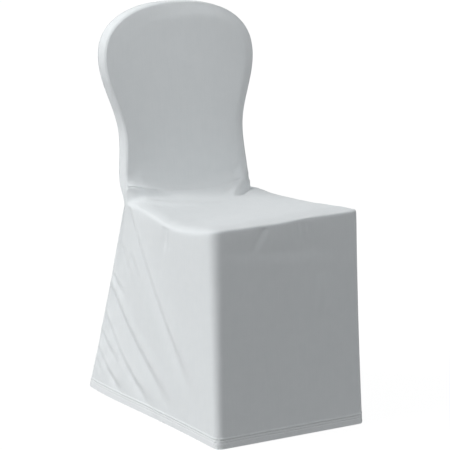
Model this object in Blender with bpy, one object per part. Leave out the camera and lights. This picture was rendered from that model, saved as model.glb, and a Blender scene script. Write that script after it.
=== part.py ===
"""A fitted stretch cover for a crown-back banquet chair, cut as seven panels of knit cloth.

The chair itself is left out, so the cover is a hollow shell, open at its hem. +Z is up, the
front faces -Y, and the origin lies on the floor under the middle of the cover.
All seven panels are parts of one taut surface. It is laid out first as one mesh, with its
folds, and each panel is then cut from it and given its thickness, so that seams match.
"""

import math
from collections import namedtuple

import bmesh
import bpy
from mathutils import Vector

# Cloth, in metres as all sizes here are
CLOTH = 0.002
SEAM_GAP = 0.0004
HEM_DEPTH = 0.022

# Back: the outline of its front face, seen square on
CROWN_TOP = 0.915
CROWN_POWER = 2.3
WIDEST_Z, WIDEST_HALF = 0.790, 0.202
WAIST_Z, WAIST_HALF = 0.615, 0.159
BASE_Z, BASE_HALF = 0.467, 0.171

# Back: how it leans and how thick it is
BACK_FOOT_Y, BACK_FOOT_Z = 0.126, 0.500
BACK_RAKE, BACK_CURVE = 0.096, 0.038
BACK_DEPTH, BAND_END_DEPTH, BAND_TAPER = 0.036, 0.008, 0.055
BAND_ROUND, BAND_BULGE = 0.005, 0.0015
BEVEL_WIDTH, BEVEL_RISE, BEVEL_CROWN, FRONT_HOLLOW = 0.038, 0.007, 0.25, 0.003
REAR_BELLY = 0.006
NOTCH_FILL, NOTCH_REACH, NOTCH_BRIDGED, NOTCH_RUN = 0.015, 0.090, 0.8, 0.085

# Where the inside back meets the seat
JUNCTION_SIDE_Z, JUNCTION_MIDDLE_Z = 0.505, 0.484
JUNCTION_FORWARD, JUNCTION_REACH = 0.010, 0.050
POST_TURN, MIDDLE_TURN, SEAT_EDGE_HOLD = 0.11, 0.20, 5

# Seat
SEAT_FRONT_Y = -0.266
SEAT_ROUND, SEAT_ROUND_AT_POST = 0.012, 0.005
SEAT_CROWN = 0.010

# Falls: how far they are drawn in between the seat's edge and the hem
FALL_HOLLOW = 0.002

# Hem, at the floor
HEM_CORNER, REAR_CORNER = 0.018, 0.008
HEM_REAR_Y, HEM_REAR_HALF = 0.303, 0.1725
HEM_MIDDLE_Y, HEM_MIDDLE_HALF, HEM_FRONT_HALF, HEM_SPREAD = 0.130, 0.183, 0.1945, 2.4

# How finely the surface is laid out
JUNCTION_STEPS, BACK_SIDE_STEPS, CROWN_STEPS = 2, 10, 18
SPINE_STEPS, BAND_STEPS = 5, 4
SEAT_SIDE_STEPS, CORNER_STEPS, FRONT_STEPS, FALL_STEPS = 17, 3, 12, 16
BEVEL_RINGS = (0.40, 0.70, 1.00)
BAND_END_ON_HEM = (0.008, 0.030, 0.054, 0.079)
POST_ROWS = (0.004, 0.010)

# The two sides of the seat and its falls, which don't quite match
Side = namedtuple("Side", "sign seat_half seat_corner hem_front_y front_edge_z")
LEFT = Side(-1, seat_half=0.191, seat_corner=0.028, hem_front_y=-0.289, front_edge_z=0.466)
RIGHT = Side(1, seat_half=0.197, seat_corner=0.019, hem_front_y=-0.301, front_edge_z=0.480)

# The height of the seat's edge, which sags between the posts and the front corners
EdgeHeight = namedtuple("EdgeHeight", "y left right")
SIDE_EDGE = (
    EdgeHeight(0.123, 0.467, 0.467),
    EdgeHeight(0.084, 0.474, 0.474),
    EdgeHeight(0.030, 0.467, 0.470),
    EdgeHeight(-0.020, 0.462, 0.468),
    EdgeHeight(-0.060, 0.455, 0.467),
    EdgeHeight(-0.110, 0.453, 0.467),
    EdgeHeight(-0.180, 0.458, 0.472),
    EdgeHeight(-0.240, 0.465, 0.478),
)

# Folds, each along a curve through start, bend and end, in the plane of its panel: y and z
# on the side falls, x and z on the front and the back, x and y on the seat. A fold sinks
# by depth and stands proud by lift on the left of its own run.
Fold = namedtuple("Fold", "panel start bend end depth width lift")
FOLDS = (
    Fold("skirt_left", (0.118, 0.460), (0.010, 0.290), (-0.200, 0.050), 0.0055, 0.017, -0.0040),
    Fold("skirt_left", (0.196, 0.300), (0.150, 0.265), (0.090, 0.245), 0.0025, 0.010, -0.0015),
    Fold("skirt_left", (0.215, 0.262), (0.080, 0.140), (-0.110, 0.020), 0.0050, 0.014, -0.0035),
    Fold("skirt_left", (0.232, 0.195), (0.120, 0.070), (-0.010, 0.010), 0.0060, 0.013, -0.0040),
    Fold("skirt_left", (0.252, 0.148), (0.200, 0.105), (0.140, 0.080), 0.0030, 0.010, -0.0020),
    Fold("skirt_left", (0.268, 0.108), (0.200, 0.040), (0.120, 0.018), 0.0050, 0.011, -0.0030),
    Fold("skirt_left", (0.140, 0.400), (0.120, 0.340), (0.080, 0.270), 0.0022, 0.011, -0.0015),
    Fold("skirt_left", (-0.060, 0.450), (-0.060, 0.420), (-0.062, 0.380), 0.0015, 0.008, 0.0),
    Fold("skirt_right", (0.120, 0.455), (0.030, 0.280), (-0.170, 0.070), 0.0045, 0.018, 0.0035),
    Fold("skirt_right", (0.222, 0.240), (0.110, 0.130), (-0.070, 0.030), 0.0040, 0.015, 0.0030),
    Fold("skirt_right", (0.256, 0.145), (0.170, 0.060), (0.060, 0.020), 0.0045, 0.013, 0.0030),
    Fold("skirt_front", (-0.045, 0.462), (-0.080, 0.430), (-0.100, 0.405), 0.0020, 0.012, 0.0012),
    Fold("skirt_front", (-0.185, 0.418), (0.000, 0.404), (0.185, 0.410), 0.0014, 0.014, 0.0),
    Fold("skirt_front", (0.085, 0.350), (0.086, 0.300), (0.086, 0.250), -0.0018, 0.016, 0.0),
    Fold("seat_panel", (-0.165, 0.112), (-0.110, 0.080), (-0.050, 0.062), 0.0045, 0.013, 0.0030),
    Fold("seat_panel", (0.165, 0.112), (0.115, 0.086), (0.070, 0.060), 0.0045, 0.013, -0.0030),
    Fold("inside_back", (-0.165, 0.522), (-0.120, 0.508), (-0.060, 0.500), 0.0035, 0.012, 0.0),
    Fold("inside_back", (0.162, 0.528), (0.125, 0.505), (0.090, 0.492), 0.0035, 0.012, 0.0),
)
CURVE_SAMPLES = 24
FOLD_AT_EDGE, FOLD_ONSET, FOLD_TAIL = 0.02, 0.16, 0.40
RIDGE_APART, RIDGE_SPREAD = 1.7, 1.2

PANELS = (
    "inside_back",
    "back_boxing",
    "seat_panel",
    "outside_back",
    "skirt_front",
    "skirt_left",
    "skirt_right",
)
SIDE_VIEW, FRONT_VIEW, PLAN_VIEW = (1, 2), (0, 2), (0, 1)
VIEW = dict.fromkeys(PANELS, FRONT_VIEW)
VIEW.update(skirt_left=SIDE_VIEW, skirt_right=SIDE_VIEW, seat_panel=PLAN_VIEW)

CLOTH_COLOUR, CLOTH_ROUGHNESS = (0.80, 0.83, 0.84, 1.0), 0.8


def ease(t):
    """0 to 1 as t goes from 0 to 1, level at both ends."""
    t = min(max(t, 0.0), 1.0)
    return t * t * (3 - 2 * t)


def mix(a, b, t):
    return a + (b - a) * t


def back_half_width(z):
    """Half the width of the back, between its foot and its widest place."""
    if z >= WAIST_Z:
        return mix(WAIST_HALF, WIDEST_HALF, ease((z - WAIST_Z) / (WIDEST_Z - WAIST_Z)))
    return mix(WAIST_HALF, BASE_HALF, ease((WAIST_Z - z) / (WAIST_Z - BASE_Z)))


def rim_y(z):
    """Where the front edge of the back lies at this height."""
    rise = z - BACK_FOOT_Z
    return BACK_FOOT_Y + BACK_RAKE * rise + BACK_CURVE * rise * rise


def band_depth(z):
    return mix(BAND_END_DEPTH, BACK_DEPTH, ease((z - BASE_Z) / BAND_TAPER))


def outline():
    """(x, z) round the back: up the left side, over the crown and down the right side."""
    heights = [mix(BASE_Z, JUNCTION_SIDE_Z, n / JUNCTION_STEPS) for n in range(JUNCTION_STEPS)]
    heights += [mix(JUNCTION_SIDE_Z, WIDEST_Z, n / BACK_SIDE_STEPS) for n in range(BACK_SIDE_STEPS)]
    left = [(-back_half_width(z), z) for z in heights]
    for n in range(CROWN_STEPS // 2):
        turn = math.pi * n / CROWN_STEPS
        x = WIDEST_HALF * math.cos(turn) ** (2 / CROWN_POWER)
        z = WIDEST_Z + (CROWN_TOP - WIDEST_Z) * math.sin(turn) ** (2 / CROWN_POWER)
        left.append((-x, z))
    return left + [(0.0, CROWN_TOP)] + [(-x, z) for x, z in reversed(left)]


def spine_point(z):
    """The end of the ray that starts on the rim at height z: on the middle line of the back."""
    if z >= WIDEST_Z:
        return Vector((0, WIDEST_Z))
    fade = 1 - ease((z - JUNCTION_SIDE_Z) / (WAIST_Z - JUNCTION_SIDE_Z))
    return Vector((0, z + (JUNCTION_MIDDLE_Z - JUNCTION_SIDE_Z) * fade))


def band_round(z):
    return min(BAND_ROUND, 0.4 * band_depth(z))


def ray_distances(z, length):
    """How far the rings of the front and rear faces lie inside the rim."""
    near = band_round(z)
    rings = [near] + [mix(near, BEVEL_WIDTH, share) for share in BEVEL_RINGS]
    return rings + [mix(BEVEL_WIDTH, length, n / SPINE_STEPS) for n in range(1, SPINE_STEPS + 1)]


def ray(rim, seam, face_y):
    """Points from the seam by the rim (x, z) to the spine, with their y given by face_y."""
    start = Vector(rim)
    end = spine_point(start.y)
    length = (end - start).length
    points = [seam]
    for distance in ray_distances(start.y, length):
        share = distance / length
        x = mix(start.x, end.x, share)
        z = mix(start.y, end.y, 1 - (1 - share) ** 2 if start.y < WIDEST_Z else share)
        points.append(Vector((x, face_y(start.y, z, distance, length), z)))
    return points


def front_y(rim_z, z, distance, length):
    """The front face: a bevel rises from the rim, and the middle is a little hollow."""
    near = band_round(rim_z)
    inner = (length - distance) / (length - BEVEL_WIDTH)
    turned = min(1.0, (distance - near) / (BEVEL_WIDTH - near))
    proud = BEVEL_RISE * turned * (1 + BEVEL_CROWN * (1 - turned))
    hollow = FRONT_HOLLOW * max(0.0, 1 - inner * inner)
    foot = 1 - ease((rim_z - JUNCTION_SIDE_Z) / JUNCTION_REACH)
    lean = JUNCTION_FORWARD * ease(distance / BEVEL_WIDTH) * foot
    return rim_y(z) - proud + hollow - lean


def rear_y(rim_z, z, distance, length):
    """The rear face: a slight belly, and the notch over the seat filled in the middle."""
    back = rim_y(z) + band_depth(rim_z)
    inner = 1 - (1 - distance / length) ** 2
    return back + inner * (REAR_BELLY + notch_fill(rim_z))


def notch_fill(z):
    """How far the taut cloth bridges the notch over the seat, between its two drawn-in seams."""
    drawn_in = BACK_DEPTH - band_depth(z)
    if z < BASE_Z:
        drawn_in *= math.exp((z - BASE_Z) / NOTCH_RUN)
    return NOTCH_BRIDGED * drawn_in + NOTCH_FILL * math.exp(-(((z - BASE_Z) / NOTCH_REACH) ** 2))


def band_row(rim):
    """Points across the boxing at one place on the outline, from its front seam to its rear seam."""
    start = Vector(rim)
    z = start.y
    outward = Vector((math.copysign(1, start.x), 0))
    if z >= WIDEST_Z:
        outward = (start - spine_point(z)).normalized()
    near, depth = band_round(z), band_depth(z)
    drawn_in = near * (1 - math.cos(math.pi / 4))
    insets = (drawn_in, 0.0, -BAND_BULGE, 0.0, drawn_in)
    backs = (drawn_in, near, depth / 2, depth - near, depth - drawn_in)
    points = []
    for inset, back in zip(insets, backs):
        x = start.x - outward.x * inset
        points.append(Vector((x, rim_y(z) + back, z - outward.y * inset)))
    return points


def side_at(x):
    return LEFT if x < 0 else RIGHT


def seat_half_width(side, y):
    """Half the width of the seat, which narrows towards the posts."""
    reach = (rim_y(BASE_Z) - y) / (rim_y(BASE_Z) - SEAT_FRONT_Y)
    return mix(BASE_HALF, side.seat_half, math.sin(math.pi / 2 * min(max(reach, 0.0), 1.0)))


def side_edge_height(side, y):
    heights = [(row.y, row.left if side is LEFT else row.right) for row in SIDE_EDGE]
    for (y0, z0), (y1, z1) in zip(heights, heights[1:]):
        if y >= y1:
            return mix(z0, z1, ease((y0 - y) / (y0 - y1)))
    return heights[-1][1]


def edge_height(x, y):
    """The height of the top of the seat at its edge."""
    if y < SEAT_FRONT_Y + side_at(x).seat_corner:
        across = (x + LEFT.seat_half) / (LEFT.seat_half + RIGHT.seat_half)
        return mix(LEFT.front_edge_z, RIGHT.front_edge_z, across)
    return side_edge_height(side_at(x), y)


def edge_round(y):
    reach = (rim_y(BASE_Z) - y) / JUNCTION_REACH
    return mix(SEAT_ROUND_AT_POST, SEAT_ROUND, ease(reach))


def hem_half_width(side, y):
    """Half the width of the hem: it is drawn in at the rear and spreads to the front corners."""
    if y > HEM_MIDDLE_Y:
        reach = (y - HEM_MIDDLE_Y) / (HEM_REAR_Y - HEM_MIDDLE_Y)
        return mix(HEM_MIDDLE_HALF, HEM_REAR_HALF, reach * reach)
    reach = (HEM_MIDDLE_Y - y) / (HEM_MIDDLE_Y - side.hem_front_y)
    return mix(HEM_MIDDLE_HALF, HEM_FRONT_HALF, reach ** HEM_SPREAD)


def corner_arc(side, half_width, front_y, corner, first_turn):
    """(place, outward) over half of a front corner, which turns 45 degrees."""
    centre = Vector((half_width(side, front_y + corner) - corner, front_y + corner))
    turns = [first_turn + math.pi / 4 * n / CORNER_STEPS for n in range(CORNER_STEPS + 1)]
    outwards = [Vector((math.cos(turn), -math.sin(turn))) for turn in turns]
    return [(centre + outward * corner, outward) for outward in outwards]


def half_side(side, half_width, front_y, corner, start_y):
    """(place, outward) along one side, from the post to the middle of its front corner."""
    places = []
    for n in range(1, SEAT_SIDE_STEPS + 1):
        y = mix(start_y, front_y + corner, n / SEAT_SIDE_STEPS)
        places.append((Vector((half_width(side, y), y)), Vector((1, 0))))
    return places + corner_arc(side, half_width, front_y, corner, 0.0)[1:]


def half_front(side, half_width, front_y, corner, middle_y):
    """(place, outward) from the middle of a front corner to the middle of the front."""
    places = corner_arc(side, half_width, front_y, corner, math.pi / 4)
    start = places[-1][0]
    steps = FRONT_STEPS // 2
    straight = [start.lerp(Vector((0, middle_y)), n / steps) for n in range(1, steps + 1)]
    return places + [(place, Vector((0, -1))) for place in straight]


def rounded_edge(place, outward, side, angle):
    """A point of the seat's rounded edge: angle 90 degrees is its top and 0 its outer face."""
    near = edge_round(place.y)
    inset = near * (1 - math.cos(angle))
    x, y = place.x - outward.x * inset, place.y - outward.y * inset
    top = edge_height(side.sign * place.x, place.y)
    return Vector((side.sign * x, y, top - near * (1 - math.sin(angle))))


def edge_points(place, outward, side):
    """The seam on the rounded edge, and the two rows of the fall under it."""
    return [rounded_edge(place, outward, side, math.pi / 8 * n) for n in (2, 1, 0)]


def fall_column(edge, hem, outward):
    """One line of a fall, from its top seam over the seat's rounded edge and down to the hem."""
    below = edge[-1]
    hem_top = 1 - HEM_DEPTH / below.z
    points = list(edge)
    for n in range(1, FALL_STEPS + 1):
        share = hem_top * n / FALL_STEPS
        hollow = FALL_HOLLOW * 4 * share * (1 - share)
        points.append(below.lerp(hem, share) - outward * hollow)
    return points + [hem]


def facing(side, outward):
    """The outward direction of the half plan, on its own side of the cover."""
    return Vector((side.sign * outward.x, outward.y, 0))


def hem_side(side):
    """Hem points of one side fall, from the rear corner to the middle of the front corner."""
    drawn_in = REAR_CORNER * (1 - math.cos(math.pi / 4))
    points = [Vector((side.sign * (HEM_REAR_HALF - drawn_in), HEM_REAR_Y - drawn_in, 0))]
    for distance in BAND_END_ON_HEM:
        y = HEM_REAR_Y - distance
        points.append(Vector((side.sign * hem_half_width(side, y), y, 0)))
    start = HEM_REAR_Y - BAND_END_ON_HEM[-1]
    for place, _ in half_side(side, hem_half_width, side.hem_front_y, HEM_CORNER, start):
        points.append(Vector((side.sign * place.x, place.y, 0)))
    return points


def side_fall(side, band_end):
    """The columns of a side fall, from the raked rear seam to the front corner's seam."""
    hems = hem_side(side)
    columns = []
    for top, hem in zip(reversed(band_end), hems):
        down = (hem - top).normalized()
        edge = [top] + [top + down * step for step in POST_ROWS]
        columns.append(fall_column(edge, hem, facing(side, Vector((1, 0)))))
    places = half_side(side, seat_half_width, SEAT_FRONT_Y, side.seat_corner, rim_y(BASE_Z))
    for (place, outward), hem in zip(places, hems[len(band_end):]):
        edge = edge_points(place, outward, side)
        columns.append(fall_column(edge, hem, facing(side, outward)))
    return columns


def front_fall():
    """The columns of the front fall, from the left corner's seam to the right corner's seam."""
    middle_y = (LEFT.hem_front_y + RIGHT.hem_front_y) / 2
    halves = []
    for side in (LEFT, RIGHT):
        places = half_front(side, seat_half_width, SEAT_FRONT_Y, side.seat_corner, SEAT_FRONT_Y)
        hems = half_front(side, hem_half_width, side.hem_front_y, HEM_CORNER, middle_y)
        columns = []
        for (place, outward), (hem, _) in zip(places, hems):
            edge = edge_points(place, outward, side)
            hem_point = Vector((side.sign * hem.x, hem.y, 0))
            columns.append(fall_column(edge, hem_point, facing(side, outward)))
        halves.append(columns)
    return halves[0] + halves[1][-2::-1]


def rear_fall(left_seam, right_seam, base_row):
    """Rows of the outside back below the seat, between its two raked seams."""
    width = base_row[-1].x - base_row[0].x
    shares = [(point.x - base_row[0].x) / width for point in base_row]
    drawn_in = REAR_CORNER * (1 - math.cos(math.pi / 4))
    rows = []
    for left, right in zip(left_seam[1:], right_seam[1:]):
        height = left.z / BASE_Z
        row = [left]
        for share, base in zip(shares[1:-1], base_row[1:-1]):
            point = left.lerp(right, share)
            inner = 1 - (2 * share - 1) ** 2
            point.y += drawn_in * (1 - height) + inner * (REAR_BELLY * height + notch_fill(left.z))
            point.y += (rim_y(base.z) - rim_y(BASE_Z)) * height
            point.z *= base.z / BASE_Z
            row.append(point)
        rows.append(row + [right])
    return rows


def inset_on_seat(x, y):
    """How far a point of the seat lies inside the seat's sharp outline."""
    side = side_at(x)
    side_room, front_room = seat_half_width(side, y) - abs(x), y - SEAT_FRONT_Y
    corner = side.seat_corner
    if side_room < corner and front_room < corner:
        return corner - math.hypot(corner - side_room, corner - front_room)
    return min(side_room, front_room)


def seat_rows(junction, left_side, right_side, front):
    """The seat, stretched between its four edges, with its crown and its rounded edge."""
    lengths = [0.0]
    for a, b in zip(left_side, left_side[1:]):
        lengths.append(lengths[-1] + (b - a).length)
    rows = [junction]
    for n in range(1, len(left_side) - 1):
        v = lengths[n] / lengths[-1]
        left_off = left_side[n] - junction[0].lerp(front[0], v)
        right_off = right_side[n] - junction[-1].lerp(front[-1], v)
        row = [left_side[n]]
        for rear, fore in zip(junction[1:-1], front[1:-1]):
            point = rear.lerp(fore, v)
            u = (rear.x - junction[0].x) / (junction[-1].x - junction[0].x)
            point.x += mix(left_off.x, right_off.x, u)
            point.y += left_off.y * (1 - u) ** SEAT_EDGE_HOLD + right_off.y * u ** SEAT_EDGE_HOLD
            point.z = seat_height(point, u, v, rear.z)
            row.append(point)
        rows.append(row + [right_side[n]])
    return rows + [front]


def seat_height(point, u, v, junction_z):
    """The height of the seat: level between its edges, crowned, and turned up into the back."""
    near = edge_round(point.y)
    level = mix(side_edge_height(LEFT, point.y), side_edge_height(RIGHT, point.y), u)
    middle = 4 * u * (1 - u)
    crown = SEAT_CROWN * math.sqrt(middle) * ease(v * 5) * ease((1 - v) * 6)
    room = min(max(inset_on_seat(point.x, point.y), near * (1 - math.cos(math.pi / 4))), near)
    drop = near - math.sqrt(near * near - (near - room) ** 2)
    turn_up = (junction_z - level) * (1 - ease(v / mix(POST_TURN, MIDDLE_TURN, ease(middle))))
    return level + crown - drop + turn_up


class Surface:
    """The whole cover as one open mesh, whose faces know their panel."""

    def __init__(self):
        self.mesh = bmesh.new()
        self.known = {}

    def vertex(self, point):
        key = tuple(round(value, 6) + 0.0 for value in point)
        if key not in self.known:
            self.known[key] = self.mesh.verts.new(point)
        return self.known[key]

    def add_rows(self, rows, panel):
        """Faces between neighbouring rows of points. A corner that two points share is closed."""
        for row, following in zip(rows, rows[1:]):
            for n in range(len(row) - 1):
                corners = (row[n], row[n + 1], following[n + 1], following[n])
                vertices = list(dict.fromkeys(self.vertex(point) for point in corners))
                if len(vertices) > 2:
                    self.mesh.faces.new(vertices).material_index = PANELS.index(panel)


def lay_out():
    """The seven panels' points, joined in one surface."""
    rims = outline()
    band = [band_row(rim) for rim in rims]
    upper = slice(JUNCTION_STEPS, -JUNCTION_STEPS)
    front_rays = [ray(rim, row[0], front_y) for rim, row in zip(rims[upper], band[upper])]
    rear_rays = [ray(rim, row[-1], rear_y) for rim, row in zip(rims, band)]
    left_fall, right_fall = side_fall(LEFT, band[0]), side_fall(RIGHT, band[-1])
    front = front_fall()
    junction = front_rays[0] + front_rays[-1][-2::-1]
    left_side = [band[n][0] for n in range(JUNCTION_STEPS, -1, -1)]
    right_side = [band[-1 - n][0] for n in range(JUNCTION_STEPS, -1, -1)]
    left_side += [column[0] for column in left_fall[BAND_STEPS + 1:]]
    right_side += [column[0] for column in right_fall[BAND_STEPS + 1:]]
    base_row = rear_rays[0] + rear_rays[-1][-2::-1]
    left_seam, right_seam = left_fall[0], right_fall[0]

    surface = Surface()
    surface.add_rows(front_rays, "inside_back")
    surface.add_rows(band, "back_boxing")
    front_edge = [column[0] for column in front]
    surface.add_rows(seat_rows(junction, left_side, right_side, front_edge), "seat_panel")
    surface.add_rows(rear_rays, "outside_back")
    surface.add_rows([base_row] + rear_fall(left_seam, right_seam, base_row), "outside_back")
    surface.add_rows(front, "skirt_front")
    surface.add_rows(left_fall, "skirt_left")
    surface.add_rows(right_fall, "skirt_right")
    return surface.mesh


def fold_curve(fold):
    """Points along a fold: a curve that leaves start towards bend and arrives at end."""
    start, bend, end = Vector(fold.start), Vector(fold.bend), Vector(fold.end)
    shares = [n / CURVE_SAMPLES for n in range(CURVE_SAMPLES + 1)]
    return [start.lerp(bend, t).lerp(bend.lerp(end, t), t) for t in shares]


def fold_height(fold, curve, place):
    """How far the cloth stands out of its panel at this place because of one fold."""
    nearest, along, offset = math.inf, 0.0, 0.0
    for n, (a, b) in enumerate(zip(curve, curve[1:])):
        run = b - a
        share = min(max((place - a).dot(run) / run.length_squared, 0.0), 1.0)
        apart = place - a.lerp(b, share)
        if apart.length < nearest:
            nearest, along = apart.length, (n + share) / CURVE_SAMPLES
            offset = math.copysign(nearest, run.x * apart.y - run.y * apart.x)
    trough = math.exp(-((offset / fold.width) ** 2))
    beside = math.copysign(RIDGE_APART * fold.width, fold.lift)
    ridge = math.exp(-(((offset - beside) / (RIDGE_SPREAD * fold.width)) ** 2))
    fade = ease((along + FOLD_AT_EDGE) / FOLD_ONSET) * ease((1 - along) / FOLD_TAIL)
    return (abs(fold.lift) * ridge - fold.depth * trough) * fade


def raise_folds(mesh):
    """Moves the surface in and out along its own normals by its folds."""
    mesh.normal_update()
    curves = [(fold, fold_curve(fold)) for fold in FOLDS]
    moves = {}
    for vertex in mesh.verts:
        panels = {PANELS[face.material_index] for face in vertex.link_faces}
        height = 0.0
        for fold, curve in curves:
            if fold.panel in panels:
                across, up = VIEW[fold.panel]
                height += fold_height(fold, curve, Vector((vertex.co[across], vertex.co[up])))
        moves[vertex] = vertex.normal * height
    for vertex, move in moves.items():
        on_hem = vertex.co.z == 0
        vertex.co += move
        if on_hem:
            vertex.co.z = 0


def seam_pull(vertex, index):
    """The move that takes a vertex of one panel off its seams, so that half the gap is left."""
    inward = []
    for edge in vertex.link_edges:
        faces = edge.link_faces
        own = [face for face in faces if face.material_index == index]
        if len(faces) == 2 and len(own) == 1:
            along = edge.other_vert(vertex).co - vertex.co
            side = own[0].calc_center_median() - vertex.co
            across = side - along * (side.dot(along) / along.length_squared)
            across -= vertex.normal * across.dot(vertex.normal)
            inward.append(across.normalized())
    if not inward:
        return Vector()
    pull = sum(inward, Vector()).normalized()
    return pull * (SEAM_GAP / 2 / max(0.5, min(pull.dot(step) for step in inward)))


def cut_panel(surface, name):
    """One panel, cut from the surface and thickened inwards."""
    index = PANELS.index(name)
    panel = bmesh.new()
    outer, inner = {}, {}
    faces = [face for face in surface.faces if face.material_index == index]
    for vertex in dict.fromkeys(v for face in faces for v in face.verts):
        place = vertex.co + seam_pull(vertex, index)
        inside = place - vertex.normal * CLOTH
        if vertex.co.z == 0:
            place.z = inside.z = 0
        outer[vertex], inner[vertex] = panel.verts.new(place), panel.verts.new(inside)
    for face in faces:
        panel.faces.new([outer[v] for v in face.verts])
        panel.faces.new([inner[v] for v in reversed(face.verts)])
        for loop in face.loops:
            near = loop.edge.link_faces
            if sum(other.material_index == index for other in near) == 1:
                a, b = loop.vert, loop.link_loop_next.vert
                panel.faces.new((outer[b], outer[a], inner[a], inner[b]))
    return panel


def material(name):
    made = bpy.data.materials.new(name)
    made.use_nodes = True
    shader = made.node_tree.nodes["Principled BSDF"]
    shader.inputs["Base Color"].default_value = CLOTH_COLOUR
    shader.inputs["Roughness"].default_value = CLOTH_ROUGHNESS
    shader.inputs["Metallic"].default_value = 0.0
    return made


def main():
    for old in list(bpy.data.objects):
        bpy.data.objects.remove(old)
    surface = lay_out()
    bmesh.ops.recalc_face_normals(surface, faces=surface.faces)
    raise_folds(surface)
    surface.normal_update()
    for name in PANELS:
        mesh = bpy.data.meshes.new(name)
        panel = cut_panel(surface, name)
        panel.to_mesh(mesh)
        panel.free()
        mesh.materials.append(material(name))
        mesh.shade_smooth()
        mesh.set_sharp_from_angle(angle=math.radians(40))
        bpy.context.scene.collection.objects.link(bpy.data.objects.new(name, mesh))
    surface.free()


main()
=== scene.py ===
"""Looks of the fitted chair cover: seven panels of white stretch knit, sewn and hemmed."""

import math
from collections import namedtuple

import bmesh
import bpy
import numpy as np
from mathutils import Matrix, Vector
from mathutils.kdtree import KDTree


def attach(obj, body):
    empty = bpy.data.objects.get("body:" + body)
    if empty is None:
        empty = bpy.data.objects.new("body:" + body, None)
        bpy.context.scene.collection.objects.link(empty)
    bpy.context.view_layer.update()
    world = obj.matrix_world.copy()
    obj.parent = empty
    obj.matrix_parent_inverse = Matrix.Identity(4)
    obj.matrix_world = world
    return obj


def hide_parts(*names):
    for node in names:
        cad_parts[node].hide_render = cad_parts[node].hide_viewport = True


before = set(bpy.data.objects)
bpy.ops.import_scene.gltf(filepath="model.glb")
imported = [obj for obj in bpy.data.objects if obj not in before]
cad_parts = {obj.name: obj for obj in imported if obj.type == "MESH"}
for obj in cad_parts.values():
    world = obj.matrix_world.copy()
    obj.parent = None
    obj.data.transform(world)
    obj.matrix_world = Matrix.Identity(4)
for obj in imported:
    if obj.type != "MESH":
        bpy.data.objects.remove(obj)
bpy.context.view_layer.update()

# The studio: a pale floor that glows almost white, in a bright room. Two broad lights stand at the
# viewer's left, a little behind the cover, and make its left fall and its seat bright and its front
# dim. A faint one stands behind it at the right, and a soft spot lifts the back.
VIEW_AZIMUTH, VIEW_ELEVATION = math.radians(-33.5), math.radians(11.0)
VIEW_DISTANCE, VIEW_AIM = 4.5, Vector((0.0, -0.016, 0.45))
LENS_MM, SENSOR_MM = 159.7, 36.0
SHIFT_ACROSS, SHIFT_UP = 0.0049, -0.0253

scene = bpy.context.scene
scene.view_settings.view_transform = "Standard"


def direction(azimuth, elevation):
    """The way from the cover to something at that bearing: azimuth 0 is straight in front."""
    level = math.cos(elevation)
    return Vector((math.sin(azimuth) * level, -math.cos(azimuth) * level, math.sin(elevation)))


camera_data = bpy.data.cameras.new("camera")
camera_data.lens, camera_data.sensor_width = LENS_MM, SENSOR_MM
camera_data.shift_x, camera_data.shift_y = SHIFT_ACROSS, SHIFT_UP
camera = bpy.data.objects.new("camera", camera_data)
scene.collection.objects.link(camera)
to_camera = direction(VIEW_AZIMUTH, VIEW_ELEVATION)
camera.location = VIEW_AIM + to_camera * VIEW_DISTANCE
camera.rotation_euler = (-to_camera).to_track_quat("-Z", "Y").to_euler()
scene.camera = camera


def far_softbox(name, azimuth, elevation, spread, strength):
    """A wide light, so far off that it falls evenly on the cover and the floor."""
    lamp = bpy.data.lights.new(name, "SUN")
    lamp.angle, lamp.energy = math.radians(spread), strength
    holder = bpy.data.objects.new(name, lamp)
    scene.collection.objects.link(holder)
    bearing = direction(math.radians(azimuth), math.radians(elevation))
    holder.rotation_euler = (-bearing).to_track_quat("-Z", "Y").to_euler()


def soft_spot(name, azimuth, elevation, aim, distance, cone, power, radius):
    """A soft round light on one part of the cover."""
    lamp = bpy.data.lights.new(name, "SPOT")
    lamp.energy, lamp.shadow_soft_size = power, radius
    lamp.spot_size, lamp.spot_blend = math.radians(cone), 1.0
    holder = bpy.data.objects.new(name, lamp)
    scene.collection.objects.link(holder)
    bearing = direction(math.radians(azimuth), math.radians(elevation))
    holder.location = aim + bearing * distance
    holder.rotation_euler = (-bearing).to_track_quat("-Z", "Y").to_euler()


far_softbox("key_light", azimuth=-107, elevation=34, spread=28, strength=1.78)
far_softbox("low_light", azimuth=-120, elevation=8, spread=40, strength=0.32)
far_softbox("rear_light", azimuth=140, elevation=35, spread=40, strength=0.20)
BACK_AIM = Vector((-0.08, 0.17, 0.98))
soft_spot(
    "back_light", azimuth=-20, elevation=30, aim=BACK_AIM, distance=2.5, cone=26, power=70, radius=0.4
)

ROOM_BELOW, ROOM_WALLS, ROOM_ABOVE = 0.12, 0.78, 0.44
WALL_FOOT, WALL_TOP, WALL_BLUR = 0.50, 0.675, 0.03
ROOM_TINT = (0.97, 0.985, 1.0, 1.0)
room = bpy.data.worlds.new("room")
room.use_nodes = True
room_nodes, room_links = room.node_tree.nodes, room.node_tree.links
way = room_nodes.new("ShaderNodeTexCoord")
way_up = room_nodes.new("ShaderNodeSeparateXYZ")
height = room_nodes.new("ShaderNodeMapRange")
height.inputs["From Min"].default_value = -1.0
glow = room_nodes.new("ShaderNodeValToRGB")
stops = glow.color_ramp.elements
stops[0].position, stops[1].position = WALL_FOOT - WALL_BLUR, WALL_TOP + WALL_BLUR
stops.new(WALL_FOOT)
stops.new(WALL_TOP)
brightest = max(ROOM_BELOW, ROOM_WALLS, ROOM_ABOVE)
for stop, level in zip(stops, (ROOM_BELOW, ROOM_WALLS, ROOM_WALLS, ROOM_ABOVE)):
    share = level / brightest
    stop.color = (share, share, share, 1.0)
strength = room_nodes.new("ShaderNodeMath")
strength.operation = "MULTIPLY"
strength.inputs[1].default_value = brightest
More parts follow.
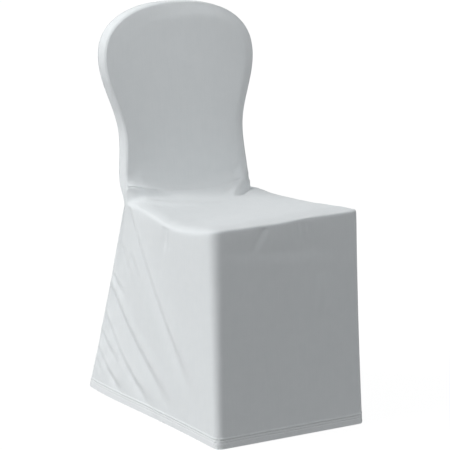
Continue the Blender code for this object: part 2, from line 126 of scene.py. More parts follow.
room_nodes["Background"].inputs["Color"].default_value = ROOM_TINT
room_links.new(way.outputs["Generated"], way_up.inputs["Vector"])
room_links.new(way_up.outputs["Z"], height.inputs["Value"])
room_links.new(height.outputs["Result"], glow.inputs["Fac"])
room_links.new(glow.outputs["Color"], strength.inputs[0])
room_links.new(strength.outputs["Value"], room_nodes["Background"].inputs["Strength"])
scene.world = room

FLOOR_SIDES, FLOOR_REACH, FLOOR_DROP = 96, 30.0, 0.0005
FLOOR_GREY, FLOOR_WHITE, FLOOR_GLOW = (0.12, 0.12, 0.12, 1.0), (1.0, 1.0, 1.0, 1.0), 0.94


def deselect_all():
    """Leaves nothing selected, so that the next operator acts on its own piece."""
    bpy.ops.object.select_all(action="DESELECT")


deselect_all()
bpy.ops.mesh.primitive_circle_add(vertices=FLOOR_SIDES, radius=FLOOR_REACH, fill_type="NGON")
floor = bpy.context.active_object
floor.name = "floor"
floor.location.z = -FLOOR_DROP
floor_paint = bpy.data.materials.new("pale_floor")
floor_paint.use_nodes = True
floor_shader = floor_paint.node_tree.nodes["Principled BSDF"].inputs
floor_shader["Base Color"].default_value = FLOOR_GREY
floor_shader["Roughness"].default_value = 0.9
floor_shader["Specular IOR Level"].default_value = 0.0
floor_shader["Emission Color"].default_value = FLOOR_WHITE
floor_shader["Emission Strength"].default_value = FLOOR_GLOW
floor.data.materials.append(floor_paint)
floor.visible_diffuse = floor.visible_shadow = False

# The cover as it is sewn up: seven panels that meet at their seams in one taut surface. The
# outer face of each is taken from its solid, told from the inner one by a place that lies inside
# the panel. The faces are joined at the seams, and refined until the surface is smooth.
PANELS = {
    "inside_back": Vector((0.0, 0.16, 0.70)),
    "back_boxing": Vector((0.0, 0.15, 0.69)),
    "seat_panel": Vector((0.0, 0.0, 0.25)),
    "outside_back": Vector((0.0, 0.05, 0.40)),
    "skirt_front": Vector((0.0, 0.0, 0.25)),
    "skirt_left": Vector((0.0, 0.0, 0.25)),
    "skirt_right": Vector((0.0, 0.0, 0.25)),
}
WALL_TURN = math.radians(55)
SEAM_REACH, POINT_REACH = 0.001, 0.00001
QUAD_TURN, QUAD_SKEW = math.radians(60), math.radians(80)
SEWN_LEVELS = 3


def sheets_of(mesh):
    """The faces of a solid in groups that its sharp edges part: outer, inner and cut edges."""
    groups = []
    waiting = set(mesh.faces)
    while waiting:
        group, edge_of_group = set(), [waiting.pop()]
        while edge_of_group:
            face = edge_of_group.pop()
            group.add(face)
            for edge in face.edges:
                if edge.calc_face_angle(math.pi) < WALL_TURN:
                    for other in edge.link_faces:
                        if other in waiting:
                            waiting.discard(other)
                            edge_of_group.append(other)
        groups.append(group)
    return groups


def outward(faces, inside):
    """Over zero where these faces turn away from a place inside their panel."""
    return sum(f.calc_area() * f.normal.dot(f.calc_center_median() - inside) for f in faces)


def outer_face(node, inside):
    """A mesh that has only the outer face of a panel's solid."""
    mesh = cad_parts[node].data.copy()
    shape = bmesh.new()
    shape.from_mesh(mesh)
    bmesh.ops.remove_doubles(shape, verts=shape.verts, dist=POINT_REACH)
    shape.normal_update()
    shells = sorted(sheets_of(shape), key=lambda g: sum(f.calc_area() for f in g))[-2:]
    keep = max(shells, key=lambda group: outward(group, inside))
    bmesh.ops.delete(shape, geom=[f for f in shape.faces if f not in keep], context="FACES")
    for face in shape.faces:
        face.material_index = list(PANELS).index(node)
    shape.to_mesh(mesh)
    shape.free()
    return mesh


def edit(piece):
    """Opens a piece alone in edit mode."""
    deselect_all()
    piece.select_set(True)
    bpy.context.view_layer.objects.active = piece
    bpy.ops.object.mode_set(mode="EDIT")


def leave_edit():
    """Closes the piece that is open in edit mode."""
    bpy.ops.object.mode_set(mode="OBJECT")


joined = bmesh.new()
for node, inside in PANELS.items():
    joined.from_mesh(outer_face(node, inside))
at_seams = [v for v in joined.verts if v.is_boundary]
bmesh.ops.remove_doubles(joined, verts=at_seams, dist=SEAM_REACH)
sewn_mesh = bpy.data.meshes.new("sewn_cover")
joined.to_mesh(sewn_mesh)
joined.free()
sewn = bpy.data.objects.new("sewn_cover", sewn_mesh)
scene.collection.objects.link(sewn)
edit(sewn)
bpy.ops.mesh.select_all(action="SELECT")
bpy.ops.mesh.tris_convert_to_quads(
    face_threshold=QUAD_TURN, shape_threshold=QUAD_SKEW, materials=True
)
leave_edit()
refine = sewn.modifiers.new("refine", "SUBSURF")
refine.levels = refine.render_levels = SEWN_LEVELS
bpy.ops.object.modifier_apply(modifier="refine")

# The way of the cloth from the back into the seat. It turns softly there, stands up as a narrow edge
# round the seat, and is drawn into folds at both ends of the back's foot. These shapes run across
# seams, so they are pressed into the sewn cover before its panels are parted.
HEM_DEPTH = 0.022
SEAM_HOLD, SEAM_SAMPLES = 0.010, 4
CREASE_STEPS = 32
START_LEAD, START_FADE, END_FADE = 0.03, 0.15, 0.40
RIDGE_APART, RIDGE_SPREAD = 1.7, 1.2
TURN_REACH, TURN_ROUNDS, TURN_PULL, TURN_LEAST = 0.036, 60, 0.5, 0.001
TURN_LEFT, TURN_LEFT_FADE, TURN_RIGHT, TURN_RIGHT_FADE = -0.176, 0.022, 0.155, 0.070
TURN_SPAN_BACK, TURN_SPAN_SEAT, TURN_OUT, TURN_UP = 0.030, 0.060, 0.0130, 0.0065
EDGE_RISE, EDGE_WIDTH, EDGE_REAR, EDGE_FADE = 0.0011, 0.0045, 0.110, 0.060
PAD_RISE_LEFT, PAD_RISE_RIGHT, PAD_HALF = -0.0050, 0.0060, 0.120
PAD_BEVEL, PAD_FOOT, PAD_FADE = 0.034, 0.500, 0.070
FOLD_FADE = 0.030
FALLS = ("skirt_front", "skirt_left", "skirt_right")

SIDE_VIEW, FRONT_VIEW, PLAN_VIEW = (1, 2), (0, 2), (0, 1)
Crease = namedtuple("Crease", "start bend end depth width widen lift")
Push = namedtuple("Push", "place reach shift")


def ease(t):
    """0 to 1 as t goes from 0 to 1, level at both ends."""
    t = np.clip(t, 0.0, 1.0)
    return t * t * (3 - 2 * t)


def places(mesh):
    """Where a mesh's points lie, a row for each."""
    flat = np.empty(len(mesh.vertices) * 3)
    mesh.vertices.foreach_get("co", flat)
    return flat.reshape(-1, 3)


def normals(mesh):
    """The way that the cloth faces at each point of a mesh."""
    flat = np.empty(len(mesh.vertices) * 3)
    mesh.vertex_normals.foreach_get("vector", flat)
    return flat.reshape(-1, 3)


def move_to(mesh, where):
    """Moves a mesh's points to new places."""
    mesh.vertices.foreach_set("co", where.ravel())
    mesh.update()


def room_from(edges, mesh):
    """How far each place of a mesh lies from the nearest of some edges."""
    shares = [step / SEAM_SAMPLES for step in range(SEAM_SAMPLES)]
    marks = [e.verts[0].co.lerp(e.verts[1].co, share) for e in edges for share in shares]
    tree = KDTree(len(marks))
    for number, mark in enumerate(marks):
        tree.insert(mark, number)
    tree.balance()
    return np.array([tree.find(v.co)[2] for v in mesh.vertices])


def seam_room(mesh, one=None, others=()):
    """The distance of each place to a panel's own seams, or to those of one panel with others."""
    shape = bmesh.new()
    shape.from_mesh(mesh)
    if one is None:
        seam = [e for e in shape.edges if e.is_boundary and e.verts[0].co.z > HEM_DEPTH / 2]
    else:
        pairs = [{list(PANELS).index(one), list(PANELS).index(other)} for other in others]
        seam = [e for e in shape.edges if {f.material_index for f in e.link_faces} in pairs]
    room = room_from(seam, mesh)
    shape.free()
    return room


def crease_heights(flat, crease):
    """How far the cloth stands out at each flat place because of one crease."""
    t = np.linspace(0, 1, CREASE_STEPS + 1)[:, None]
    start, bend, end = (np.array(place) for place in crease[:3])
    line = (1 - t) ** 2 * start + 2 * t * (1 - t) * bend + t**2 * end
    nearest = np.full(len(flat), np.inf)
    along, offset = np.zeros(len(flat)), np.zeros(len(flat))
    for step, (a, b) in enumerate(zip(line, line[1:])):
        run = b - a
        share = np.clip((flat - a) @ run / (run @ run), 0, 1)
        apart = flat - a - share[:, None] * run
        distance = np.hypot(apart[:, 0], apart[:, 1])
        closer = distance < nearest
        side = np.where(run[0] * apart[:, 1] - run[1] * apart[:, 0] < 0, -1.0, 1.0)
        nearest[closer] = distance[closer]
        along[closer] = (step + share[closer]) / CREASE_STEPS
        offset[closer] = (distance * side)[closer]
    width = crease.width * (1 + (crease.widen - 1) * along)
    trough = np.exp(-((offset / width) ** 2))
    beside = math.copysign(RIDGE_APART, crease.lift) * width
    ridge = np.exp(-(((offset - beside) / (RIDGE_SPREAD * width)) ** 2))
    fade = ease((along + START_LEAD) / START_FADE) * ease((1 - along) / END_FADE)
    return (abs(crease.lift) * ridge - crease.depth * trough) * fade


def on_panels(mesh, names):
    """1 for each place of the sewn cover that some panels have, and 0 for the others."""
    chosen = [list(PANELS).index(name) for name in names]
    faces = [face for face in mesh.polygons if face.material_index in chosen]
    touched = np.zeros(len(mesh.vertices))
    touched[[corner for face in faces for corner in face.vertices]] = 1.0
    return touched


def press_creases(piece, view, creases, across=None, behind=None, room=None):
    """Presses creases into a panel, less near its seams, or across some panels behind a place."""
    mesh = piece.data
    where = places(mesh)
    flat = where[:, view]
    height = sum(crease_heights(flat, crease) for crease in creases)
    if across is None:
        height = height * ease(seam_room(mesh) / SEAM_HOLD)
    else:
        height = height * on_panels(mesh, across) * ease((where[:, 1] - behind) / FOLD_FADE)
        height = height * ease(room / SEAM_HOLD)
    move_to(mesh, where + normals(mesh) * height[:, None])


def push(piece, pushes):
    """Moves the cloth softly at a few places, where the padding under it is fuller or flatter."""
    where = places(piece.data)
    moved = where.copy()
    for one in pushes:
        apart = np.linalg.norm(where - np.array(one.place), axis=1)
        moved += np.exp(-((apart / one.reach) ** 2))[:, None] * np.array(one.shift)
    move_to(piece.data, moved)


BACK_FOOT = ("inside_back", "seat_panel")
turn_room = seam_room(sewn.data, "inside_back", ["seat_panel"])
across = places(sewn.data)[:, 0]
within = ease((across - TURN_LEFT) / TURN_LEFT_FADE)
within *= ease((TURN_RIGHT - across) / TURN_RIGHT_FADE)
span = np.where(on_panels(sewn.data, ["seat_panel"]) > 0, TURN_SPAN_SEAT, TURN_SPAN_BACK)
rounding = (1 - np.clip(turn_room / span, 0, 1)) ** 2 * within * on_panels(sewn.data, BACK_FOOT)
move_to(sewn.data, places(sewn.data) + np.outer(rounding, (0.0, -TURN_OUT, TURN_UP)))

at_turn = 1 - ease(turn_room / TURN_REACH)
sewn.data.attributes.new("held", "FLOAT", "POINT").data.foreach_set("value", 1 - at_turn)
at_turn *= within
turn = sewn.vertex_groups.new(name="turn")
for number in np.flatnonzero(at_turn > TURN_LEAST):
    turn.add([int(number)], float(at_turn[number]), "REPLACE")
soften = sewn.modifiers.new("soften", "SMOOTH")
soften.factor, soften.iterations, soften.vertex_group = TURN_PULL, TURN_ROUNDS, "turn"
bpy.ops.object.modifier_apply(modifier="soften")
sewn.vertex_groups.clear()

edge_room = seam_room(sewn.data, "seat_panel", FALLS)
edge = EDGE_RISE * np.exp(-((edge_room / EDGE_WIDTH) ** 2))
edge *= ease((EDGE_REAR - places(sewn.data)[:, 1]) / EDGE_FADE)
move_to(sewn.data, places(sewn.data) + normals(sewn.data) * edge[:, None])

pad_room = seam_room(sewn.data, "inside_back", ["back_boxing"])
rightness = ease((places(sewn.data)[:, 0] + PAD_HALF) / (2 * PAD_HALF))
pad = PAD_RISE_LEFT * (1 - rightness) + PAD_RISE_RIGHT * rightness
pad *= ease(pad_room / PAD_BEVEL) * on_panels(sewn.data, ["inside_back"])
pad *= ease((places(sewn.data)[:, 2] - PAD_FOOT) / PAD_FADE)
move_to(sewn.data, places(sewn.data) + normals(sewn.data) * pad[:, None])

# The seat's front corners and its right edge stand up a little, and its right rear corner more.
push(sewn, (
    Push((-0.168, -0.262, 0.462), 0.045, (0.0, 0.0, 0.0050)),
    Push((-0.090, -0.266, 0.464), 0.055, (0.0, 0.0, 0.0030)),
    Push((0.050, -0.266, 0.470), 0.060, (0.0, 0.0, 0.0025)),
    Push((0.195, -0.100, 0.468), 0.090, (0.0, 0.0, 0.0030)),
    Push((0.182, 0.108, 0.475), 0.034, (0.0, 0.0, 0.0060)),
))
# A ledge at the left end of the back's foot, a tuck at its right end, and the tuck's run over the seat.
foot_room = np.minimum(edge_room, pad_room)
press_creases(sewn, FRONT_VIEW, (
    Crease((-0.172, 0.507), (-0.135, 0.497), (-0.080, 0.488), -0.0024, 0.0065, 1.6, 0.0),
    Crease((0.178, 0.520), (0.160, 0.495), (0.135, 0.472), 0.0054, 0.0076, 1.0, -0.0052),
), across=BACK_FOOT, behind=0.060, room=foot_room)
press_creases(sewn, PLAN_VIEW, (
    Crease((0.172, 0.122), (0.126, 0.078), (0.050, 0.004), 0.0074, 0.0092, 0.9, -0.0070),
), across=BACK_FOOT, behind=0.000, room=foot_room)

# Inside back: one panel of white stretch jersey, drawn tight over the front of the back. It is
# cut with the crown's outline and sewn into the boxing and the seat. The seams, hems, knit and
# thread that all panels share are defined here.
SEAM_WIDTH, SEAM_DEPTH = 0.0010, 0.00014
CLOTH_THICKNESS, HEM_LAYERS = 0.0008, 2
CUT_EDGE_TURN = math.radians(50)
WALE_WIDTH, COURSE_HEIGHT = 0.0009, 0.0007
LOOP_SLANT, LOOP_HEIGHT, LOOP_STRENGTH = 1.3, 0.00012, 0.5
CLOUD_SCALE, CLOUD_DETAIL, CLOUD_HEIGHT, CLOUD_STRENGTH = 42.0, 4.0, 0.0012, 0.35
STREAKS_ACROSS, STREAKS_ALONG, STREAK_DETAIL = 320.0, 14.0, 3.0
MOTTLE_LOW, MOTTLE_HIGH, HEM_BLUR = 0.38, 0.62, 0.0006
TWIST_SCALE, TWIST_HEIGHT, TWIST_STRENGTH = 900.0, 0.0001, 0.3
STITCH_ROWS, STITCH_PITCH = (0.0130, 0.0186), 0.0032
STITCH_LENGTH, STITCH_WIDTH, STITCH_HEIGHT = 0.0026, 0.0009, 0.0005
STITCH_SIDES, STITCH_RINGS = 6, 4
ROW_WIDTH, ROW_DEPTH = 0.0010, 0.0006
PUFF_HEIGHT, PUFF_WIDTH, PUFF_RISE = 0.0220, 0.0020, 0.0011
HEM_LEVELS, HEM_HOLD = np.arange(0.0106, 0.0261, 0.0010), 0.0025
ROPE_RISE, ROPE_PITCH, ROPE_SLANT = 0.00018, 0.0105, 0.9


def cut_panel(name):
    """A panel's own sheet of cloth, cut from the sewn cover along its seams."""
    mesh = sewn.data.copy()
    mesh.name = name + "_cloth"
    piece = bpy.data.objects.new(name + "_cloth", mesh)
    scene.collection.objects.link(piece)
    shape = bmesh.new()
    shape.from_mesh(mesh)
    index = list(PANELS).index(name)
    others = [face for face in shape.faces if face.material_index != index]
    bmesh.ops.delete(shape, geom=others, context="FACES")
    for face in shape.faces:
        face.material_index = 0
    shape.to_mesh(mesh)
    shape.free()
    return piece


def lay_flat(piece, flat):
    """Gives a panel its place on the knitted roll, in metres, as its UV map."""
    mesh = piece.data
    corners = np.empty(len(mesh.loops), dtype=np.int64)
    mesh.loops.foreach_get("vertex_index", corners)
    mesh.uv_layers.new(name="roll").data.foreach_set("uv", flat[corners].ravel())


def sew_edges(piece):
    """Sinks the seams a little where their stitches pull them in."""
    edit(piece)
    bpy.ops.mesh.select_all(action="SELECT")
    bpy.ops.mesh.inset(thickness=SEAM_WIDTH, use_boundary=True, use_even_offset=True)
    leave_edit()
    shape = bmesh.new()
    shape.from_mesh(piece.data)
    held = shape.verts.layers.float["held"]
    for vertex in [v for v in shape.verts if v.is_boundary and v.co.z > HEM_DEPTH / 2]:
        vertex.co -= vertex.normal * SEAM_DEPTH * vertex[held]
    shape.verts.layers.float.remove(held)
    shape.to_mesh(piece.data)
    shape.free()


def thicken(piece):
    """Gives the cloth its thickness on its inner side: one layer, and two at the hem."""
    hem = piece.vertex_groups.new(name="hem")
    hem.add([v.index for v in piece.data.vertices if v.co.z < HEM_DEPTH], 1.0, "REPLACE")
    layers = piece.modifiers.new("layers", "SOLIDIFY")
    layers.thickness = CLOTH_THICKNESS * HEM_LAYERS
    layers.vertex_group = "hem"
    layers.thickness_vertex_group = 1 / HEM_LAYERS
    layers.offset = -1
    bpy.context.view_layer.objects.active = piece
    bpy.ops.object.modifier_apply(modifier="layers")
    piece.vertex_groups.clear()
    where = places(piece.data)
    where[:, 2] = np.maximum(where[:, 2], 0.0)
    move_to(piece.data, where)
    bpy.ops.object.shade_smooth_by_angle(angle=CUT_EDGE_TURN)


def shape_hem(piece, along):
    """Puffs the cloth over the hem's seam, sinks its rows of stitches, and ropes the hem a little."""
    shape = bmesh.new()
    shape.from_mesh(piece.data)
    low = [face for face in shape.faces if min(v.co.z for v in face.verts) < HEM_LEVELS[-1]]
    part = list(dict.fromkeys(each for face in low for each in (*face.verts, *face.edges, face)))
    for level in HEM_LEVELS:
        part = bmesh.ops.bisect_plane(
            shape, geom=part, plane_co=(0, 0, level), plane_no=(0, 0, 1)
        )["geom"]
    shape.to_mesh(piece.data)
    shape.free()
    where = places(piece.data)
    height = where[:, 2]
    rise = PUFF_RISE * np.exp(-(((height - PUFF_HEIGHT) / PUFF_WIDTH) ** 2))
    for row in STITCH_ROWS:
        rise -= ROW_DEPTH * np.exp(-(((height - row) / ROW_WIDTH) ** 2))
    turn = math.tau * (where[:, along] + ROPE_SLANT * height) / ROPE_PITCH
    rise += ROPE_RISE * np.sin(turn) * ease((PUFF_HEIGHT - height) / PUFF_WIDTH)
    rise *= ease(seam_room(piece.data) / HEM_HOLD)
    move_to(piece.data, where + normals(piece.data) * rise[:, None])


def line_at(piece, height):
    """Where a panel crosses a level: evenly spaced places, and the cloth's normals there."""
    shape = bmesh.new()
    shape.from_mesh(piece.data)
    everything = shape.verts[:] + shape.edges[:] + shape.faces[:]
    cut = bmesh.ops.bisect_plane(
        shape, geom=everything, plane_co=(0, 0, height), plane_no=(0, 0, 1), clear_inner=True
    )
    shape.normal_update()
    on_line = {edge for edge in cut["geom_cut"] if isinstance(edge, bmesh.types.BMEdge)}
    ends = [v for e in on_line for v in e.verts if len(on_line & set(v.link_edges)) == 1]
    vertex = min(ends, key=lambda end: end.co[:])
    chain = [vertex]
    while on_line & set(vertex.link_edges):
        step = (on_line & set(vertex.link_edges)).pop()
        on_line.discard(step)
        vertex = step.other_vert(vertex)
        chain.append(vertex)
    where = np.array([v.co[:] for v in chain])
    facing = np.array([v.normal[:] for v in chain])
    shape.free()
    run = np.concatenate([[0], np.cumsum(np.linalg.norm(np.diff(where, axis=0), axis=1))])
    marks = np.arange(STITCH_PITCH, run[-1] - STITCH_PITCH / 2, STITCH_PITCH)
    return [
        np.array([np.interp(marks, run, values[:, axis]) for axis in range(3)]).T
        for values in (where, facing)
    ]


def stitch_hem(piece, name):
    """Two rows of needle stitches along a hem, each stitch a short, flattened bead of thread."""
    bead = bmesh.new()
    bmesh.ops.create_uvsphere(bead, u_segments=STITCH_SIDES, v_segments=STITCH_RINGS, radius=0.5)
    sizes = np.array([STITCH_WIDTH, STITCH_HEIGHT, STITCH_LENGTH])
    corners = np.array([v.co[:] for v in bead.verts]) * sizes
    sides = [[v.index for v in face.verts] for face in bead.faces]
    bead.free()
    vertices, faces = [], []
    for height in STITCH_ROWS:
        where, facing = line_at(piece, height)
        along = np.gradient(where, axis=0)
        along /= np.linalg.norm(along, axis=1)[:, None]
        facing -= (facing * along).sum(axis=1)[:, None] * along
        facing /= np.linalg.norm(facing, axis=1)[:, None]
        for place, out, run in zip(where, facing, along):
            first = len(vertices)
            vertices += list(place + corners @ np.stack([np.cross(run, out), out, run]))
            faces += [[first + corner for corner in side] for side in sides]
    mesh = bpy.data.meshes.new(name)
    mesh.from_pydata(vertices, [], faces)
    mesh.shade_smooth()
    mesh.materials.append(thread)
    stitches = bpy.data.objects.new(name, mesh)
    scene.collection.objects.link(stitches)
    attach(stitches, "root")
    return stitches


def add_node(tree, kind, inputs, **settings):
    """Adds a shader node, with a value or another node's output in each named input."""
    made = tree.nodes.new("ShaderNode" + kind)
    for name, value in settings.items():
        setattr(made, name, value)
    for key, value in inputs.items():
        if isinstance(value, bpy.types.NodeSocket):
            tree.links.new(value, made.inputs[key])
        else:
            made.inputs[key].default_value = value
    return made.outputs


def knitted_jersey(name, colour, cloudy_colour, hem_colour):
    """White stretch jersey: fine wales of V loops, a faint cloudiness, and a soft sheen."""
    cloth = bpy.data.materials.new(name)
    cloth.use_nodes = True
    tree = cloth.node_tree

    def calculate(operation, *values):
        return add_node(tree, "Math", dict(enumerate(values)), operation=operation)[0]

    roll = add_node(tree, "UVMap", {}, uv_map="roll")["UV"]
    on_roll = add_node(tree, "SeparateXYZ", {"Vector": roll})
    wale = calculate("MULTIPLY", on_roll["X"], 1 / WALE_WIDTH)
    course = calculate("MULTIPLY", on_roll["Y"], 1 / COURSE_HEIGHT)
    across_wale = calculate("SUBTRACT", calculate("FRACT", wale), 0.5)
    legs = calculate("MULTIPLY", calculate("ABSOLUTE", across_wale), LOOP_SLANT)
    turn = calculate("MULTIPLY", calculate("ADD", course, legs), math.tau)
    rib = calculate("COSINE", calculate("MULTIPLY", across_wale, math.tau))
    loops = calculate("ADD", calculate("SINE", turn), rib)

    place = add_node(tree, "TexCoord", {})["Object"]
    cloudy = {"Vector": place, "Scale": CLOUD_SCALE, "Detail": CLOUD_DETAIL}
    clouds = add_node(tree, "TexNoise", cloudy)["Fac"]
    rise = add_node(tree, "SeparateXYZ", {"Vector": place})["Z"]
    step = {"Value": rise, "From Min": HEM_DEPTH - HEM_BLUR, "From Max": HEM_DEPTH + HEM_BLUR}
    above_hem = add_node(tree, "MapRange", step)["Result"]
    stretched = {0: roll, 1: (STREAKS_ACROSS, STREAKS_ALONG, 1.0)}
    on_streaks = add_node(tree, "VectorMath", stretched, operation="MULTIPLY")["Vector"]
    streaky = {"Vector": on_streaks, "Scale": 1.0, "Detail": STREAK_DETAIL}
    streaks = add_node(tree, "TexNoise", streaky)["Fac"]
    fine = {"Strength": LOOP_STRENGTH, "Distance": LOOP_HEIGHT, "Height": loops}
    soft = {"Strength": CLOUD_STRENGTH, "Distance": CLOUD_HEIGHT, "Height": clouds}
    soft["Normal"] = add_node(tree, "Bump", fine)["Normal"]
    uneven = add_node(tree, "Bump", soft)["Normal"]

    mottle = calculate("MULTIPLY", calculate("ADD", clouds, streaks), 0.5)
    spread = {"Value": mottle, "From Min": MOTTLE_LOW, "From Max": MOTTLE_HIGH}
    tones = {0: add_node(tree, "MapRange", spread)["Result"], 6: cloudy_colour, 7: colour}
    body = add_node(tree, "Mix", tones, data_type="RGBA")[2]
    layers = {0: above_hem, 6: hem_colour, 7: body}
    shade = add_node(tree, "Mix", layers, data_type="RGBA")[2]

    shader = tree.nodes["Principled BSDF"].inputs
    tree.links.new(shade, shader["Base Color"])
    tree.links.new(uneven, shader["Normal"])
    shader["Roughness"].default_value = 0.85
    shader["Specular IOR Level"].default_value = 0.25
    shader["Sheen Weight"].default_value = 0.18
    shader["Sheen Roughness"].default_value = 0.45
    return cloth


def sewing_thread(name, colour):
    """White polyester thread: a little brighter and smoother than the knit."""
    spun = bpy.data.materials.new(name)
    spun.use_nodes = True
    tree = spun.node_tree
    place = add_node(tree, "TexCoord", {})["Object"]
    twist = add_node(tree, "TexNoise", {"Vector": place, "Scale": TWIST_SCALE})["Fac"]
    twisted = {"Strength": TWIST_STRENGTH, "Distance": TWIST_HEIGHT, "Height": twist}
    shader = tree.nodes["Principled BSDF"].inputs
    tree.links.new(add_node(tree, "Bump", twisted)["Normal"], shader["Normal"])
    shader["Base Color"].default_value = colour
    shader["Roughness"].default_value = 0.6
    return spun


def finish_panel(piece, node, roll_view, hem_stitches=None, roll=None):
    """Sews, hems, thickens and dresses a panel that has its creases, then attaches it and hides its
    solid.
    """
    sew_edges(piece)
    if hem_stitches:
        shape_hem(piece, roll_view[0])
    lay_flat(piece, places(piece.data)[:, roll_view] if roll is None else roll(piece))
    stitches = [stitch_hem(piece, hem_stitches)] if hem_stitches else []
    thicken(piece)
    piece.data.materials.clear()
    piece.data.materials.append(jersey)
    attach(piece, "root")
    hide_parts(node)


jersey = knitted_jersey(
    "white_jersey",
    colour=(0.805, 0.833, 0.843, 1.0),
    cloudy_colour=(0.785, 0.815, 0.826, 1.0),
    hem_colour=(0.84, 0.865, 0.875, 1.0),
)
thread = sewing_thread("white_thread", (0.86, 0.88, 0.885, 1.0))

inside_back = cut_panel("inside_back")
press_creases(inside_back, FRONT_VIEW, (
    Crease((-0.150, 0.520), (-0.110, 0.505), (-0.050, 0.498), 0.0012, 0.007, 1.4, 0.0008),
    Crease((0.150, 0.560), (0.125, 0.520), (0.105, 0.500), 0.0010, 0.006, 1.3, 0.0006),
))
finish_panel(
    inside_back,
    "inside_back",
    roll_view=FRONT_VIEW,
)

# Back boxing: a strip of the same jersey round the thickness of the back, over the crown and
# down both sides. It is sewn between the inside and the outside back and runs out to a point
# at each rear corner of the seat.
BOXING_MIDDLE_X, BOXING_MIDDLE_Z, BOXING_REACH = 0.0, 0.69, 0.215


def round_the_back(piece):
    """The boxing's places on the roll: its depth, and the way round the back."""
    where = places(piece.data)
    bearing = np.arctan2(where[:, 0] - BOXING_MIDDLE_X, where[:, 2] - BOXING_MIDDLE_Z)
    return np.stack([where[:, 1], bearing * BOXING_REACH], axis=1)


boxing = cut_panel("back_boxing")
finish_panel(
    boxing,
    "back_boxing",
    roll_view=SIDE_VIEW,
    roll=round_the_back,
)

# Seat panel: one panel of jersey over the top of the seat, sewn to the inside back and to the
# three falls. It is pulled down towards the back's foot, which leaves soft diagonal drags.
seat = cut_panel("seat_panel")
press_creases(seat, PLAN_VIEW, (
    Crease((-0.160, 0.112), (-0.105, 0.082), (-0.040, 0.070), 0.0015, 0.009, 1.5, 0.0010),
    Crease((-0.178, -0.060), (-0.120, -0.068), (-0.060, -0.080), 0.0008, 0.012, 1.4, 0.0004),
    Crease((-0.150, 0.098), (-0.104, -0.026), (0.050, -0.002), -0.0042, 0.0125, 1.2, 0.0),
))
finish_panel(
    seat,
    "seat_panel",
    roll_view=PLAN_VIEW,
)

# Outside back: one long panel of jersey from the crown to the floor. It lies on the rear of the
# back, bridges the notch over the seat, and falls out over the raked rear to its hem.
outside_back = cut_panel("outside_back")
press_creases(outside_back, FRONT_VIEW, (
    Crease((-0.160, 0.455), (-0.120, 0.380), (-0.060, 0.300), 0.0022, 0.012, 1.8, -0.0015),
    Crease((0.158, 0.450), (0.110, 0.395), (0.060, 0.330), 0.0020, 0.011, 1.8, 0.0014),
    Crease((-0.158, 0.478), (-0.090, 0.452), (-0.010, 0.446), 0.0018, 0.010, 1.6, 0.0012),
    Crease((0.158, 0.482), (0.100, 0.462), (0.030, 0.458), 0.0014, 0.009, 1.6, -0.0010),
    Crease((-0.164, 0.230), (-0.100, 0.170), (-0.020, 0.120), 0.0016, 0.011, 1.8, -0.0010),
))
finish_panel(
    outside_back,
    "outside_back",
    roll_view=FRONT_VIEW,
    hem_stitches="hem_stitches_rear",
)

# Front fall: a panel of jersey from the seat's front edge to the floor, sewn to the side falls
# down both corners and hemmed at the floor. A few puckers hang under the seat's edge.
front_fall = cut_panel("skirt_front")
press_creases(front_fall, FRONT_VIEW, (
    Crease((-0.055, 0.466), (-0.072, 0.442), (-0.092, 0.410), 0.0028, 0.0060, 1.5, 0.0020),
    Crease((0.000, 0.468), (0.002, 0.442), (0.004, 0.412), 0.0010, 0.0042, 1.4, 0.0005),
    Crease((0.020, 0.470), (0.022, 0.446), (0.026, 0.418), 0.0012, 0.0042, 1.4, 0.0006),
    Crease((0.038, 0.470), (0.041, 0.440), (0.047, 0.408), 0.0010, 0.0045, 1.5, 0.0005),
    Crease((0.053, 0.471), (0.058, 0.448), (0.066, 0.420), 0.0009, 0.0042, 1.4, 0.0004),
    Crease((0.088, 0.350), (0.084, 0.300), (0.078, 0.245), -0.0016, 0.0080, 1.4, 0.0),
    Crease((-0.170, 0.425), (-0.010, 0.404), (0.150, 0.396), 0.0009, 0.0120, 1.1, -0.0007),
    Crease((0.010, 0.330), (0.006, 0.230), (0.012, 0.110), 0.0012, 0.0140, 1.3, 0.0008),
))
finish_panel(
    front_fall,
    "skirt_front",
    roll_view=FRONT_VIEW,
    hem_stitches="hem_stitches_front",
)

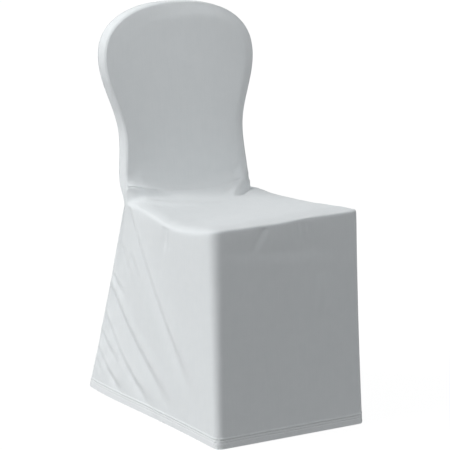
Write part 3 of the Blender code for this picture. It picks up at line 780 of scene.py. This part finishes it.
# Left fall: a panel of jersey from the seat's left edge to the floor. It is drawn backwards at
# its foot, so long folds run from its rear seam down towards the front of the hem.
left_fall = cut_panel("skirt_left")
press_creases(left_fall, SIDE_VIEW, (
    Crease((0.113, 0.470), (-0.015, 0.240), (-0.207, 0.058), 0.0042, 0.0100, 1.9, -0.0034),
    Crease((0.196, 0.300), (0.150, 0.265), (0.120, 0.250), 0.0022, 0.0070, 1.4, -0.0014),
    Crease((0.205, 0.275), (0.075, 0.135), (-0.110, 0.020), 0.0034, 0.0095, 1.7, -0.0028),
    Crease((0.225, 0.200), (0.110, 0.055), (-0.020, 0.015), 0.0046, 0.0085, 1.7, -0.0034),
    Crease((0.244, 0.152), (0.200, 0.110), (0.145, 0.085), 0.0024, 0.0065, 1.5, -0.0014),
    Crease((0.260, 0.112), (0.205, 0.045), (0.120, 0.022), 0.0040, 0.0075, 1.6, -0.0028),
    Crease((0.274, 0.085), (0.255, 0.060), (0.230, 0.042), 0.0020, 0.0055, 1.4, -0.0012),
    Crease((0.142, 0.372), (0.118, 0.330), (0.100, 0.295), 0.0016, 0.0060, 1.4, -0.0008),
    Crease((0.098, 0.360), (0.072, 0.325), (0.050, 0.285), 0.0015, 0.0060, 1.5, -0.0008),
    Crease((-0.057, 0.450), (-0.059, 0.420), (-0.058, 0.385), 0.0019, 0.0034, 1.4, 0.0000),
    Crease((-0.066, 0.449), (-0.066, 0.425), (-0.064, 0.395), 0.0019, 0.0034, 1.4, 0.0000),
    Crease((-0.080, 0.448), (-0.080, 0.420), (-0.079, 0.388), 0.0015, 0.0036, 1.4, 0.0000),
))
finish_panel(
    left_fall,
    "skirt_left",
    roll_view=SIDE_VIEW,
    hem_stitches="hem_stitches_left",
)

# Right fall: the same panel of jersey at the seat's right edge, on the side that the viewer
# doesn't see. It is drawn backwards too, and has fewer and softer folds.
right_fall = cut_panel("skirt_right")
press_creases(right_fall, SIDE_VIEW, (
    Crease((0.120, 0.462), (0.020, 0.262), (-0.170, 0.070), 0.0020, 0.0080, 2.0, 0.0018),
    Crease((0.215, 0.245), (0.105, 0.125), (-0.070, 0.030), 0.0018, 0.0070, 1.8, 0.0014),
    Crease((0.250, 0.145), (0.170, 0.060), (0.060, 0.020), 0.0022, 0.0060, 1.7, 0.0015),
    Crease((0.170, 0.340), (0.120, 0.262), (0.060, 0.205), 0.0010, 0.0060, 1.5, 0.0),
))
finish_panel(
    right_fall,
    "skirt_right",
    roll_view=SIDE_VIEW,
    hem_stitches="hem_stitches_right",
)

bpy.data.objects.remove(sewn)
